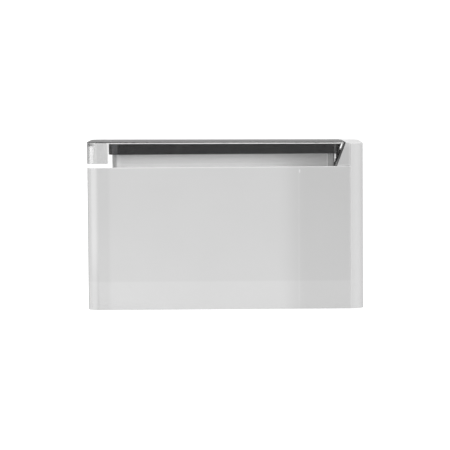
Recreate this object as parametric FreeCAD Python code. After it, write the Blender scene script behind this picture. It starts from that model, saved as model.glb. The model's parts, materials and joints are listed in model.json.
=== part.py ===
"""Cling film dispenser: counter-top housing with a clear hinged lid, an inner roll tray and a cutter.

Frame: +X along the housing, to the end cap; +Y from front to back; +Z up.
The origin is the middle of the outline on the surface that the feet stand on. Millimetres.
"""
import FreeCAD
import Part
import os

Vector = FreeCAD.Vector
os.makedirs("parts", exist_ok=True)

# ---- driving dimensions ----
WIDTH = 376.0            # housing, over its ends
DEPTH = 136.0            # housing, front face to rear face
HEIGHT = 228.0           # middle of the closed lid's top
LID_FALL_RIGHT = 2.0     # how much lower that top is at the right end than at the left
LID_FALL_BACK = 1.3      # and at the rear than at the front
CORNER = 18.0            # outer radius of the upright corners
WALL = 3.0               # housing wall
FOOT_PROUD = 0.6         # how far the feet lift the housing
FIT = 0.3                # gap between pieces that only stand beside each other
RUN = 0.05               # radial clearance of a shaft in its bearing

PARTING_FRONT = 195.0    # housing's top edge at the front face
PARTING_FALL = 7.0       # how much lower that edge is at the rear face
SLOT = 5.4               # open height between housing and lid

HINGE_RADIUS = 4.5       # knuckles, centred on the rear face
HINGE_SPACING = 210.0    # between the two hinges
HINGE_LENGTH = 44.0      # over both ears of a bracket
KNUCKLE_LENGTH = 20.0    # the lid's knuckle
HINGE_PIN_RADIUS = 1.5

LID_WALL = 2.5
SEAL_THICK = 2.4         # strip on the lid's slanted end
SLANT_TOP = 164.0        # X of the strip's outer face at the lid's top
SLANT_FOOT = 151.4       # X of that face at the parting line
SLANT_GAP = 0.5          # between the strip and the end cap
DECK_HEIGHT = 226.3      # top of the end cap
CAP_SEAM = 170.0         # X where the end cap's walls begin

FLOOR_HEIGHT = 39.0      # top of the plinth's floor
BASE_PLATE = 2.5

CARRIER_HALF = 158.9     # blade carrier's half length
CARRIER_BOTTOM = 211.8
CARRIER_TOP = 223.7      # its seats for the lid's posts; around them it reaches up to the lid
CARRIER_SET_BACK = 11.0  # from the housing's front face
CARRIER_WALL = 2.5
CARRIER_CORNER = 13.0

TRAY_HALF = 154.0        # roll tray's half length
TRAY_TOP = 216.0
TRAY_WALL = 2.5
TRAY_CORNER = 11.0

ROLL_RADIUS = 39.0       # full roll
ROLL_LENGTH = 300.0
CORE_RADIUS = 21.0
CORE_BORE = 19.0
ROLL_HEIGHT = 105.0      # roll axis
STUB_RADIUS = 5.0

GUIDE_HEIGHT = 211.0     # guide roller's axis
GUIDE_RADIUS = 7.0
SHAFT_RADIUS = 3.0

# ---- derived places ----
HALF = WIDTH / 2
OVERALL_DEPTH = DEPTH + HINGE_RADIUS
FRONT = -OVERALL_DEPTH / 2
REAR = FRONT + DEPTH
MIDDLE_Y = (FRONT + REAR) / 2
FALL_RATE = PARTING_FALL / DEPTH
HINGE_Z = PARTING_FRONT - PARTING_FALL + SLOT / 2
CARRIER_FRONT = FRONT + CARRIER_SET_BACK
CARRIER_REAR = REAR - CARRIER_SET_BACK - 1.0
TRAY_SET_IN = CARRIER_HALF - TRAY_HALF
TRAY_FRONT = CARRIER_FRONT + TRAY_SET_IN
TRAY_REAR = CARRIER_REAR - TRAY_SET_IN
TRAY_BOTTOM = FLOOR_HEIGHT
ROLL_Y = (TRAY_FRONT + TRAY_REAR) / 2
GUIDE_Y = TRAY_FRONT + TRAY_CORNER + 5.6
SLANT_ZONE = FRONT + CARRIER_SET_BACK + 3.0   # in front of this the slanted end runs down to the slot
SLANT_RISE = TRAY_TOP + 1.0                    # behind it the slanted end stops above the tray
LID_END = -SEAL_THICK - 0.05                   # lid's slanted outer face, from the strip's
SLANT_RATE = (SLANT_TOP - SLANT_FOOT) / (HEIGHT - PARTING_FRONT)
ENDS = (-1, 1)


def box(x0, x1, y0, y1, z0, z1):
    """A block between two corners."""
    return Part.makeBox(x1 - x0, y1 - y0, z1 - z0, Vector(x0, y0, z0))


def rounded(x0, x1, y0, y1, z0, z1, radius):
    """A block with its four upright edges rounded."""
    block = box(x0, x1, y0, y1, z0, z1)
    upright = [e for e in block.Edges if abs(e.tangentAt(e.FirstParameter).z) > 0.99]
    return block.makeFillet(radius, upright)


def rod(radius, start, axis, length):
    """A cylinder from its start along an axis."""
    return Part.makeCylinder(radius, length, Vector(*start), Vector(*axis))


def slab_along_y(corners, y0, y1):
    """A prism through the depth, from its outline in X and Z."""
    points = [Vector(x, y0, z) for x, z in corners]
    wire = Part.makePolygon(points + points[:1])
    return Part.Face(wire).extrude(Vector(0, y1 - y0, 0))


def slab_along_x(corners, x0, x1):
    """A prism along the length, from its outline in Y and Z."""
    points = [Vector(x0, y, z) for y, z in corners]
    wire = Part.makePolygon(points + points[:1])
    return Part.Face(wire).extrude(Vector(x1 - x0, 0, 0))


def above_parting(lift):
    """Everything above the falling parting plane, raised by a lift."""
    near, far = FRONT - 20, REAR + 20
    z_near = PARTING_FRONT + lift + 20 * FALL_RATE
    z_far = PARTING_FRONT + lift - (DEPTH + 20) * FALL_RATE
    outline = [(near, z_near), (far, z_far), (far, HEIGHT + 50), (near, HEIGHT + 50)]
    return slab_along_x(outline, -HALF - 20, HALF + 20)


def lid_top(x, y):
    """Height of the lid's gently falling top at a place."""
    return HEIGHT - x * LID_FALL_RIGHT / WIDTH - (y - MIDDLE_Y) * LID_FALL_BACK / DEPTH


def below_lid_top(drop):
    """Everything under the plane of the lid's top, lowered by a drop."""
    ends = []
    near, far = FRONT - 30, REAR + 30
    for x in (-HALF - 30, HALF + 30):
        corners = [(near, 100), (far, 100), (far, lid_top(x, far) - drop), (near, lid_top(x, near) - drop)]
        points = [Vector(x, y, z) for y, z in corners]
        ends.append(Part.makePolygon(points + points[:1]))
    return Part.makeLoft(ends, True, True)


def edges_of_top(shape, drop):
    """The edges that lie in the plane of the lid's top, lowered by a drop."""
    return [e for e in shape.Edges
            if all(abs(lid_top(v.X, v.Y) - drop - v.Z) < 0.01 for v in e.Vertexes)]


def slant_x(z, offset=0.0):
    """X of the lid's slanted end at a height, moved outwards by an offset along X."""
    return SLANT_FOOT + (z - PARTING_FRONT) * SLANT_RATE + offset


def right_of_slant(offset, z0, z1):
    """Everything to the right of the slanted plane between two heights."""
    far = HALF + 20
    outline = [(slant_x(z0, offset), z0), (far, z0), (far, z1), (slant_x(z1, offset), z1)]
    return slab_along_y(outline, FRONT - 20, REAR + 20)


def behind_tray_front():
    """Where the slanted walls would meet the tray's end, the cradle and the guide shaft."""
    return box(0, HALF + 20, SLANT_ZONE, REAR + 20, 100, SLANT_RISE)


def screw(start, axis, shank_radius, shank, head_radius, head):
    """A pan-head screw: start is under the head, axis points the way it is driven."""
    back = tuple(-a for a in axis)
    body = rod(shank_radius, start, axis, shank)
    cap = rod(head_radius, start, back, head)
    socket_start = tuple(s + b * head for s, b in zip(start, back))
    socket = rod(head_radius * 0.35, socket_start, axis, head * 0.6)
    return body.fuse(cap).cut(socket)


def save(shape, node):
    """Writes a sub-part, and says what it is."""
    shape = shape.removeSplitter()
    print(node, len(shape.Solids), "solid(s)", round(shape.Volume / 1000, 2), "cm3", shape.isValid())
    shape.exportStep("parts/" + node + ".step")


def group(shapes):
    """Like pieces that share one node."""
    return Part.makeCompound(shapes)


# ---- places and sizes of repeated pieces ----
HINGE_XS = [s * HINGE_SPACING / 2 for s in ENDS]
BOSS_RADIUS = 5.0
BOSS_HOLE = 1.6
BOSS_INSET = 9.0
BOSS_FROM_END = 13.0
BOSS_Y = DEPTH / 2 - WALL - BOSS_INSET
SHELL_BOSSES = [(x, MIDDLE_Y + s * BOSS_Y) for x in (-HALF + BOSS_FROM_END, 0.0) for s in ENDS]
CAP_BOSSES = [(HALF - BOSS_FROM_END, MIDDLE_Y + s * BOSS_Y) for s in ENDS]
CAP_SCREW_X = CAP_SEAM - 5.0
CAP_SCREW_ZS = (70.0, 120.0, 170.0)
BOSS_BOTTOM = FOOT_PROUD + BASE_PLATE + 0.5
BOSS_TOP = FLOOR_HEIGHT - 4.0

RIB_HALF = 1.0           # half the thickness of the housing's and plinth's ribs
RIB_DEEP = 7.0           # how far the housing's ribs stand in from its walls
FRONT_RIB_X = 101.0
FRONT_RIB_TOP = 188.0
REAR_RIB_X = 60.0
REAR_RIB_TOP = 160.0
PLINTH_RIB_XS = (-120.0, -60.0, 60.0, 120.0)
PLINTH_GAP = 0.4         # plinth and base plate, from the housing's walls

FOOT_RADIUS = 9.0
FOOT_HEIGHT = 2.6
FOOT_FROM_END = 40.0
FOOT_FROM_FACE = 22.0

BUSH_RADIUS = 4.5
BUSH_END = 0.9           # from the tray's outside to the bottom of a bush's bore
TRAY_FLOOR = 3.0
TRAY_SCREW_X = 90.0
TRAY_SCREW_Y = 30.0
CRADLE_THICK = 6.0
CRADLE_HALF = 15.0
CRADLE_BOTTOM = 72.0
CRADLE_TOP = 186.0
BUFFER_X = 110.0
BUFFER_HALF = 6.0

CLIP_X = 149.6
CLIP_HALF = 0.9
POST_RADIUS = 3.2
CARRIER_SCREW_XS = (-125.0, 0.0, 125.0)
CARRIER_SCREW_Y = 36.0

BLADE_HALF = 144.0
BLADE_THICK = 0.6
BLADE_TOP = CARRIER_BOTTOM + 5.0
BLADE_SCREW_Z = CARRIER_BOTTOM + 3.2
BLADE_SCREW_STEP = 48.0
TOOTH_PITCH = 2.5
TOOTH_DEPTH = 1.6

BRACKET_THICK = 3.0
BRACKET_FOOT = 24.0      # from the hinge's axis down to the bracket's lower edge
BRACKET_HEAD = 6.5       # and to the upper edge of its plate
KNOB_RADIUS = 9.0
KNOB_LENGTH = 8.0
PLUG_FLANGE_RADIUS = 24.0

# Each screw: shank radius and length, head radius and height.
BASE_SCREW = (1.45, 18, 2.9, 1.2)
TRAY_SCREW = (1.4, 12, 3.0, 1.4)
CRADLE_SCREW = (1.2, CRADLE_THICK + 2.2, 2.4, 1.2)
BLADE_SCREW = (0.95, 2.6, 1.7, 0.7)
CARRIER_SCREW = (1.15, 3.8, 2.4, 1.2)
BRACKET_SCREW = (1.35, 5.8, 2.6, 1.3)
CAP_SCREW = (1.35, 4.9, 2.8, 1.3)
BASE_SCREW_SEAT = FOOT_PROUD + 0.4 + 1.4


def housing():
    """The whole outside of the housing as one open-bottomed shell, before it is divided."""
    outer = rounded(-HALF, HALF, FRONT, REAR, FOOT_PROUD, DECK_HEIGHT, CORNER)
    inner = rounded(-HALF + WALL, HALF - WALL, FRONT + WALL, REAR - WALL,
                    FOOT_PROUD - 1, DECK_HEIGHT - WALL, CORNER - WALL)
    return outer, inner


def boss(x, y):
    """A screw boss that stands in the plinth space and joins the nearest wall by a web."""
    post = rod(BOSS_RADIUS, (x, y, BOSS_BOTTOM), (0, 0, 1), BOSS_TOP - BOSS_BOTTOM)
    wall_y = FRONT + WALL / 2 if y < MIDDLE_Y else REAR - WALL / 2
    web = box(x - 1.2, x + 1.2, min(y, wall_y), max(y, wall_y), BOSS_BOTTOM, BOSS_TOP)
    hole = rod(BOSS_HOLE - 0.1, (x, y, BOSS_BOTTOM - 1), (0, 0, 1), 21)
    return post.fuse(web).cut(hole)


def hinge_notch(x, z0, z1):
    """Room in a wall for a hinge's ears and knuckle."""
    half = HINGE_LENGTH / 2 + 0.6
    return box(x - half, x + half, REAR - 8, REAR + 8, z0, z1)


def make_shell():
    """Front, left and rear walls, with a small round on the edge that the film runs over."""
    outer, inner = housing()
    walls = outer.cut(inner).cut(above_parting(0.0))
    walls = walls.cut(box(CAP_SEAM, HALF + 1, FRONT - 1, REAR + 1, 0, HEIGHT))
    rim = [e for e in walls.Edges if is_rim(e)]
    walls = walls.makeFillet(1.2, rim)
    walls = walls.cut(seam_groove())
    rib_foot = FLOOR_HEIGHT + FIT
    ribs = [box(FRONT_RIB_X - RIB_HALF, FRONT_RIB_X + RIB_HALF, FRONT + WALL - 0.5, FRONT + WALL + RIB_DEEP,
                rib_foot, FRONT_RIB_TOP)]
    ribs += [box(s * REAR_RIB_X - RIB_HALF, s * REAR_RIB_X + RIB_HALF, REAR - WALL - RIB_DEEP,
                 REAR - WALL + 0.5, rib_foot, REAR_RIB_TOP) for s in ENDS]
    for part in ribs + [boss(x, y) for x, y in SHELL_BOSSES]:
        walls = walls.fuse(part)
    for x in HINGE_XS:
        walls = walls.cut(hinge_notch(x, HINGE_Z - 6.0, HEIGHT))
        for dx, z in bracket_screws():
            walls = walls.cut(rod(1.4, (x + dx, REAR + 1, z), (0, -1, 0), WALL + 2))
    for z in CAP_SCREW_ZS:
        walls = walls.cut(rod(1.6, (CAP_SCREW_X, REAR + 1, z), (0, -1, 0), WALL + 2))
    return walls


def seam_groove():
    """Shallow V along the joint between shell and end cap, at the front and at the rear."""
    depth = 0.5
    grooves = []
    for y, inwards in ((FRONT, 1), (REAR, -1)):
        outline = [Vector(CAP_SEAM - depth, y, 0), Vector(CAP_SEAM, y + inwards * depth, 0),
                   Vector(CAP_SEAM + depth, y, 0)]
        face = Part.Face(Part.makePolygon(outline + outline[:1]))
        grooves.append(face.extrude(Vector(0, 0, HEIGHT)))
    return group(grooves)


def is_rim(edge):
    """Whether an edge runs round the outside of the housing at the parting line."""
    middle = edge.valueAt((edge.FirstParameter + edge.LastParameter) / 2)
    parting = PARTING_FRONT - (middle.y - FRONT) * FALL_RATE
    on_line = abs(middle.z - parting) < 0.05
    box_ = edge.BoundBox
    outside = box_.YMin < FRONT + 0.01 or box_.XMin < -HALF + 0.01 or box_.YMax > REAR - 0.01
    upright = box_.ZLength > 1.0 and box_.XLength < 0.01 and box_.YLength < 0.01
    return on_line and outside and not upright and box_.XMin < CAP_SEAM - 1


def make_end_cap():
    """Right end with rounded corners, deck, slanted wall, lips behind the shell and two bosses."""
    outer, inner = housing()
    strip = box(CAP_SEAM, HALF + 1, FRONT - 1, REAR + 1, 0, HEIGHT)
    pod_front = PARTING_FRONT + FIT
    pod = right_of_slant(SLANT_GAP, pod_front, HEIGHT)
    rear_pod = pod.fuse(right_of_slant(SLANT_GAP, HINGE_Z - 2.0, pod_front).common(
        box(0, HALF + 1, MIDDLE_Y, REAR + 1, 0, HEIGHT)))
    walls = outer.cut(inner).common(strip.fuse(rear_pod))
    slant = right_of_slant(SLANT_GAP, pod_front, DECK_HEIGHT - 1).cut(
        right_of_slant(SLANT_GAP + WALL, pod_front - 1, DECK_HEIGHT))
    slant = slant.common(outer).cut(box(0, HALF, FRONT - 1, FRONT + WALL, 0, HEIGHT))
    slant = slant.cut(behind_tray_front().common(box(0, HALF + 20, FRONT, REAR - WALL, 0, HEIGHT)))
    cap = walls.fuse(slant)
    cap = cap.cut(insert_space(0.0))
    top = [e for e in cap.Edges if is_deck_edge(e)]
    cap = cap.makeFillet(0.8, top).cut(seam_groove())
    lip_bottom, lip_top = FLOOR_HEIGHT + FIT, HINGE_Z - 8
    for y0, y1 in ((FRONT + WALL + 0.05, FRONT + WALL + 2), (REAR - WALL - 2, REAR - WALL - 0.05)):
        cap = cap.fuse(box(CAP_SEAM - 11, CAP_SEAM + 8, y0, y1, lip_bottom, lip_top))
    for x, y in CAP_BOSSES:
        cap = cap.fuse(boss(x, y))
    for z in CAP_SCREW_ZS:
        cap = cap.cut(rod(1.4, (CAP_SCREW_X, REAR, z), (0, -1, 0), WALL + 4))
    return cap


def is_deck_edge(edge):
    """Whether an edge bounds the end cap's deck on the outside."""
    box_ = edge.BoundBox
    level = box_.ZMin > DECK_HEIGHT - 0.01
    round_outside = box_.XMax > CAP_SEAM + 0.5 and box_.XMin > CAP_SEAM - 0.5 and box_.YLength > 1
    along_rear = box_.YMin > REAR - 0.01 and box_.XLength > 1
    return level and (round_outside or along_rear)


def insert_space(gap):
    """The trapezoid at the front of the end cap, smaller by a gap all round."""
    low, high = PARTING_FRONT + FIT, DECK_HEIGHT - gap
    left = SLANT_GAP
    outline = [(slant_x(low, left), low), (CAP_SEAM - gap, low), (CAP_SEAM - gap, high),
               (slant_x(high, left), high)]
    return slab_along_y(outline, FRONT - (1.0 if gap == 0 else 0.0), FRONT + WALL - gap)


def make_cheek_insert():
    """Trapezoid panel that finishes the front of the end cap."""
    panel = insert_space(0.15)
    front = [e for e in panel.Edges if e.BoundBox.YMax < FRONT + 0.01]
    return panel.makeChamfer(0.5, front)


def make_plinth():
    """Ribbed inner floor, cut away round the bosses."""
    gap = PLINTH_GAP
    x0, x1 = -HALF + WALL + gap, HALF - WALL - gap
    y0, y1 = FRONT + WALL + gap, REAR - WALL - gap
    bottom = BOSS_BOTTOM
    corner = CORNER - WALL - gap
    block = rounded(x0, x1, y0, y1, bottom, FLOOR_HEIGHT, corner)
    hollow = rounded(x0 + 2, x1 - 2, y0 + 2, y1 - 2, bottom - 1, FLOOR_HEIGHT - 2.5, corner - 2)
    plinth = block.cut(hollow)
    for x in PLINTH_RIB_XS:
        plinth = plinth.fuse(box(x - RIB_HALF, x + RIB_HALF, y0 + 1, y1 - 1, bottom + 4, FLOOR_HEIGHT - 1))
    plinth = plinth.fuse(box(-HALF + 30, HALF - 30, MIDDLE_Y - RIB_HALF, MIDDLE_Y + RIB_HALF,
                             bottom + 4, FLOOR_HEIGHT - 1))
    for x, y in SHELL_BOSSES + CAP_BOSSES:
        wall_y = FRONT if y < MIDDLE_Y else REAR
        clear = rod(BOSS_RADIUS + 0.6, (x, y, 0), (0, 0, 1), BOSS_TOP + 0.5)
        slot = box(x - 1.8, x + 1.8, min(y, wall_y), max(y, wall_y), 0, BOSS_TOP + 0.5)
        plinth = plinth.cut(clear.fuse(slot))
    for x, y in tray_screw_places():
        column = rod(4.0, (x, y, bottom + 10), (0, 0, 1), FLOOR_HEIGHT - bottom - 10)
        plinth = plinth.fuse(column).cut(rod(1.5, (x, y, bottom + 12), (0, 0, 1), 40))
    return plinth


def tray_screw_places():
    """Where the tray is screwed to the plinth."""
    return [(sx * TRAY_SCREW_X, ROLL_Y + sy * TRAY_SCREW_Y) for sx in ENDS for sy in ENDS]


def foot_places():
    """Centres of the feet."""
    return [(sx * (HALF - FOOT_FROM_END), MIDDLE_Y + sy * (DEPTH / 2 - FOOT_FROM_FACE))
            for sx in ENDS for sy in ENDS]


def make_base_plate():
    """Flat plate in the bottom opening, with recesses for the feet and sunk screw heads."""
    gap = PLINTH_GAP
    z0 = FOOT_PROUD + 0.4
    plate = rounded(-HALF + WALL + gap, HALF - WALL - gap, FRONT + WALL + gap, REAR - WALL - gap,
                    z0, BOSS_BOTTOM - 0.1, CORNER - WALL - gap)
    for x, y in foot_places():
        plate = plate.cut(rod(FOOT_RADIUS, (x, y, 0), (0, 0, 1), FOOT_HEIGHT))
    for x, y in SHELL_BOSSES + CAP_BOSSES:
        plate = plate.cut(rod(BOSS_HOLE, (x, y, 0), (0, 0, 1), 10))
        plate = plate.cut(rod(3.2, (x, y, 0), (0, 0, 1), BASE_SCREW_SEAT))
    return plate


def make_feet():
    """Four round rubber feet with a small round on the tread."""
    feet = []
    for x, y in foot_places():
        foot = rod(FOOT_RADIUS - 0.05, (x, y, 0), (0, 0, 1), FOOT_HEIGHT - 0.02)
        tread = [e for e in foot.Edges if e.BoundBox.ZMax < 0.01]
        feet.append(foot.makeFillet(0.5, tread))
    return group(feet)


def make_base_screws():
    """Screws through the base plate into the housing's bosses."""
    return group([screw((x, y, BASE_SCREW_SEAT), (0, 0, 1), *BASE_SCREW)
                  for x, y in SHELL_BOSSES + CAP_BOSSES])


def make_roll_tray():
    """Inner box: closed floor, slots in the ends for the roll's stubs and notches for the guide roller."""
    x0, x1 = -TRAY_HALF, TRAY_HALF
    block = rounded(x0, x1, TRAY_FRONT, TRAY_REAR, TRAY_BOTTOM, TRAY_TOP, TRAY_CORNER)
    hollow = rounded(x0 + TRAY_WALL, x1 - TRAY_WALL, TRAY_FRONT + TRAY_WALL, TRAY_REAR - TRAY_WALL,
                     TRAY_BOTTOM + TRAY_FLOOR, TRAY_TOP + 1, TRAY_CORNER - TRAY_WALL)
    tray = block.cut(hollow)
    rim = [e for e in tray.Edges if e.BoundBox.ZMin > TRAY_TOP - 0.01]
    tray = tray.makeFillet(0.8, rim)
    slot_half = STUB_RADIUS + 0.8
    for s in ENDS:
        x_in, x_out = sorted((s * (TRAY_HALF - TRAY_WALL - 2.5), s * (TRAY_HALF + 1)))
        slot = box(x_in, x_out, ROLL_Y - slot_half, ROLL_Y + slot_half, ROLL_HEIGHT, TRAY_TOP + 5)
        slot = slot.fuse(rod(slot_half, (x_in, ROLL_Y, ROLL_HEIGHT), (1, 0, 0), x_out - x_in))
        notch = box(x_in, x_out, GUIDE_Y - BUSH_RADIUS, GUIDE_Y + BUSH_RADIUS, GUIDE_HEIGHT, TRAY_TOP + 5)
        notch = notch.fuse(rod(BUSH_RADIUS, (x_in, GUIDE_Y, GUIDE_HEIGHT), (1, 0, 0), x_out - x_in))
        tray = tray.cut(slot).cut(notch)
        for dy, z in cradle_screw_places():
            tray = tray.cut(rod(1.3, (s * (TRAY_HALF + 1), ROLL_Y + dy, z), (-s, 0, 0), 10))
    for x, y in tray_screw_places():
        tray = tray.cut(rod(1.8, (x, y, TRAY_BOTTOM - 1), (0, 0, 1), 6))
    return tray


def cradle_screw_places():
    """Offsets from the roll axis in Y, and heights."""
    return [(s * 10.5, z) for s in ENDS for z in (78.0, 130.0, 170.0)]


def make_cradle(side):
    """Plate on the outside of a tray end, with a slot that the roll's stub drops into."""
    x_near = side * (TRAY_HALF + 0.02)
    x_far = side * (TRAY_HALF + CRADLE_THICK)
    x0, x1 = sorted((x_near, x_far))
    plate = box(x0, x1, ROLL_Y - CRADLE_HALF, ROLL_Y + CRADLE_HALF, CRADLE_BOTTOM, CRADLE_TOP)
    foot_corners = [e for e in plate.Edges
                    if e.BoundBox.XLength > 1 and e.BoundBox.ZMax < CRADLE_BOTTOM + 0.01]
    plate = plate.makeFillet(6.0, foot_corners)
    seat = STUB_RADIUS + RUN
    slot = box(x0 - 1, x1 + 1, ROLL_Y - seat, ROLL_Y + seat, ROLL_HEIGHT, TRAY_TOP)
    slot = slot.fuse(rod(seat, (x0 - 1, ROLL_Y, ROLL_HEIGHT), (1, 0, 0), x1 - x0 + 2))
    mouth_low, mouth_half = CRADLE_TOP - 9, seat + 5
    mouth = slab_along_x([(ROLL_Y - seat, mouth_low), (ROLL_Y + seat, mouth_low),
                          (ROLL_Y + mouth_half, CRADLE_TOP + 1), (ROLL_Y - mouth_half, CRADLE_TOP + 1)],
                         x0 - 1, x1 + 1)
    plate = plate.cut(slot).cut(mouth)
    for dy, z in cradle_screw_places():
        plate = plate.cut(rod(1.5, (side * (TRAY_HALF - 5), ROLL_Y + dy, z), (side, 0, 0), 20))
    return plate


def make_cradle_screws():
    """Screws through the cradles into the tray's ends."""
    screws = []
    for s in ENDS:
        for dy, z in cradle_screw_places():
            start = (s * (TRAY_HALF + CRADLE_THICK), ROLL_Y + dy, z)
            screws.append(screw(start, (-s, 0, 0), *CRADLE_SCREW))
    return group(screws)


def make_tray_screws():
    """Screws from the tray's floor down into the plinth."""
    z = TRAY_BOTTOM + TRAY_FLOOR
    return group([screw((x, y, z), (0, 0, -1), *TRAY_SCREW) for x, y in tray_screw_places()])


def make_buffers():
    """Soft pads on the tray's rim, which carry the closed lid."""
    pads = []
    pad_top = CARRIER_TOP - CARRIER_WALL - FIT
    for x in (-BUFFER_X, BUFFER_X):
        for y in (TRAY_FRONT + TRAY_WALL / 2, TRAY_REAR - TRAY_WALL / 2):
            pads.append(box(x - BUFFER_HALF, x + BUFFER_HALF, y - 1.0, y + 1.0, TRAY_TOP, pad_top))
    return group(pads)


def make_lid():
    """Clear cover: top, front apron, left and rear walls, slanted right wall, clip ribs and knuckles."""
    outer = rounded(-HALF, HALF, FRONT, REAR, 150, HEIGHT + 10, CORNER).common(below_lid_top(0))
    inner = rounded(-HALF + LID_WALL, HALF, FRONT + LID_WALL, REAR - LID_WALL,
                    140, HEIGHT + 10, CORNER - LID_WALL).common(below_lid_top(LID_WALL))
    right = right_of_slant(LID_END, 140, HEIGHT + 10)
    outer = outer.makeFillet(1.0, edges_of_top(outer, 0))
    inner = inner.cut(right_of_slant(LID_END - LID_WALL, 130, HEIGHT + 10))
    cover = outer.cut(inner).cut(right)
    low_end = behind_tray_front().common(box(SLANT_FOOT - 12, HALF, FRONT, REAR - LID_WALL, 0, HEIGHT))
    cover = cover.cut(low_end)
    clip_top, clip_foot = HEIGHT - LID_WALL, CARRIER_BOTTOM - 9.5
    clip_front = [(-CLIP_HALF, clip_top), (CLIP_HALF, clip_top), (CLIP_HALF, clip_foot + 3),
                  (2 * CLIP_HALF, clip_foot + 1.5), (CLIP_HALF, clip_foot), (-CLIP_HALF, clip_foot)]
    for s in ENDS:
        outline = [(s * (CLIP_X + x), z) for x, z in clip_front]
        cover = cover.fuse(slab_along_y(outline, FRONT + 1, CARRIER_FRONT - FIT))
        cover = cover.fuse(slab_along_y(outline, CARRIER_REAR + FIT, REAR - 1))
    cover = cover.common(above_parting(SLOT))
    for x in HINGE_XS:
        cover = cover.cut(hinge_notch(x, 150, HINGE_Z + 5.2))
        half = KNUCKLE_LENGTH / 2
        knuckle = rod(HINGE_RADIUS, (x - half, REAR, HINGE_Z), (1, 0, 0), KNUCKLE_LENGTH)
        web = slab_along_x([(REAR - LID_WALL, HINGE_Z), (REAR + HINGE_RADIUS, HINGE_Z),
                            (REAR + HINGE_RADIUS, HINGE_Z + 8), (REAR, HINGE_Z + 14),
                            (REAR - LID_WALL, HINGE_Z + 14)], x - half, x + half)
        cover = cover.fuse(knuckle).fuse(web)
        bore = rod(HINGE_PIN_RADIUS + RUN, (x - half - 1, REAR, HINGE_Z), (1, 0, 0), KNUCKLE_LENGTH + 2)
        cover = cover.cut(bore)
    for x, y in carrier_screw_places():
        post = rod(POST_RADIUS, (x, y, CARRIER_TOP), (0, 0, 1), lid_top(x, y) - LID_WALL - CARRIER_TOP + 0.5)
        cover = cover.fuse(post).cut(rod(1.2, (x, y, CARRIER_TOP - 1), (0, 0, 1), 2.6))
    return cover


def carrier_screw_places():
    """Where the carrier is screwed up into the lid's top."""
    return [(x, MIDDLE_Y + s * CARRIER_SCREW_Y) for x in CARRIER_SCREW_XS for s in ENDS]


def make_blade_carrier():
    """Shallow inverted tray that caps the roll tray; its skirt carries the blade."""
    block = rounded(-CARRIER_HALF, CARRIER_HALF, CARRIER_FRONT, CARRIER_REAR,
                    CARRIER_BOTTOM, HEIGHT + 10, CARRIER_CORNER)
    under_lid = LID_WALL + FIT
    block = block.common(below_lid_top(under_lid))
    block = block.makeFillet(1.0, edges_of_top(block, under_lid))
    wall = CARRIER_WALL
    hollow = rounded(-CARRIER_HALF + wall, CARRIER_HALF - wall, CARRIER_FRONT + wall, CARRIER_REAR - wall,
                     CARRIER_BOTTOM - 1, CARRIER_TOP - wall, CARRIER_CORNER - wall)
    block = block.cut(hollow)
    window = rounded(-CARRIER_HALF + 24, CARRIER_HALF - 24, CARRIER_FRONT + 30, CARRIER_REAR - 30,
                     CARRIER_BOTTOM, CARRIER_TOP + 5, 6)
    block = block.cut(window)
    end_cut = right_of_slant(LID_END - LID_WALL - FIT, CARRIER_BOTTOM - 5, CARRIER_TOP + 5)
    block = block.cut(end_cut)
    for x, y in carrier_screw_places():
        block = block.cut(rod(1.5, (x, y, CARRIER_BOTTOM), (0, 0, 1), 30))
        block = block.cut(rod(POST_RADIUS + FIT, (x, y, CARRIER_TOP), (0, 0, 1), 10))
    for x in blade_screw_xs():
        block = block.cut(rod(1.0, (x, CARRIER_FRONT + 0.45, BLADE_SCREW_Z), (0, 1, 0), wall))
    return block


def blade_screw_xs():
    """Along the blade."""
    return [i * BLADE_SCREW_STEP for i in range(-3, 4)]


def make_blade():
    """Serrated strip behind the carrier's front skirt, its points just below the skirt."""
    half = BLADE_HALF
    tip = CARRIER_BOTTOM - 1.1
    root = tip + TOOTH_DEPTH
    outline = [(-half, BLADE_TOP), (-half, root)]
    for i in range(int(2 * half / TOOTH_PITCH)):
        x = -half + i * TOOTH_PITCH
        outline += [(x + TOOTH_PITCH / 2, tip), (x + TOOTH_PITCH, root)]
    outline.append((outline[-1][0], BLADE_TOP))
    y0 = CARRIER_FRONT + CARRIER_WALL
    blade = slab_along_y(outline, y0, y0 + BLADE_THICK)
    for x in blade_screw_xs():
        blade = blade.cut(rod(1.1, (x, y0 - 1, BLADE_SCREW_Z), (0, 1, 0), 3))
    return blade


def make_blade_screws():
    """Small screws from behind the blade into the skirt."""
    y = CARRIER_FRONT + CARRIER_WALL + BLADE_THICK
    return group([screw((x, y, BLADE_SCREW_Z), (0, -1, 0), *BLADE_SCREW) for x in blade_screw_xs()])


def make_carrier_screws():
    """Screws up through the carrier into the lid's posts."""
    z = CARRIER_TOP - CARRIER_WALL
    return group([screw((x, y, z), (0, 0, 1), *CARRIER_SCREW) for x, y in carrier_screw_places()])


def make_end_seal():
    """Dark strip on the outside of the lid's slanted end, from front to rear and down to the housing."""
    low, high = PARTING_FRONT - PARTING_FALL, HEIGHT + 5
    outline = [(slant_x(low, -SEAL_THICK), low), (slant_x(high, -SEAL_THICK), high),
               (slant_x(high), high), (slant_x(low), low)]
    strip = slab_along_y(outline, FRONT + 0.3, REAR - 0.3)
    strip = strip.common(above_parting(0.7)).common(below_lid_top(0.4))
    return strip.cut(behind_tray_front())


def bracket_screws():
    """Offsets in X from a bracket's middle, and heights."""
    return [(s * 14.0, HINGE_Z - 16.0) for s in ENDS]


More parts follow.
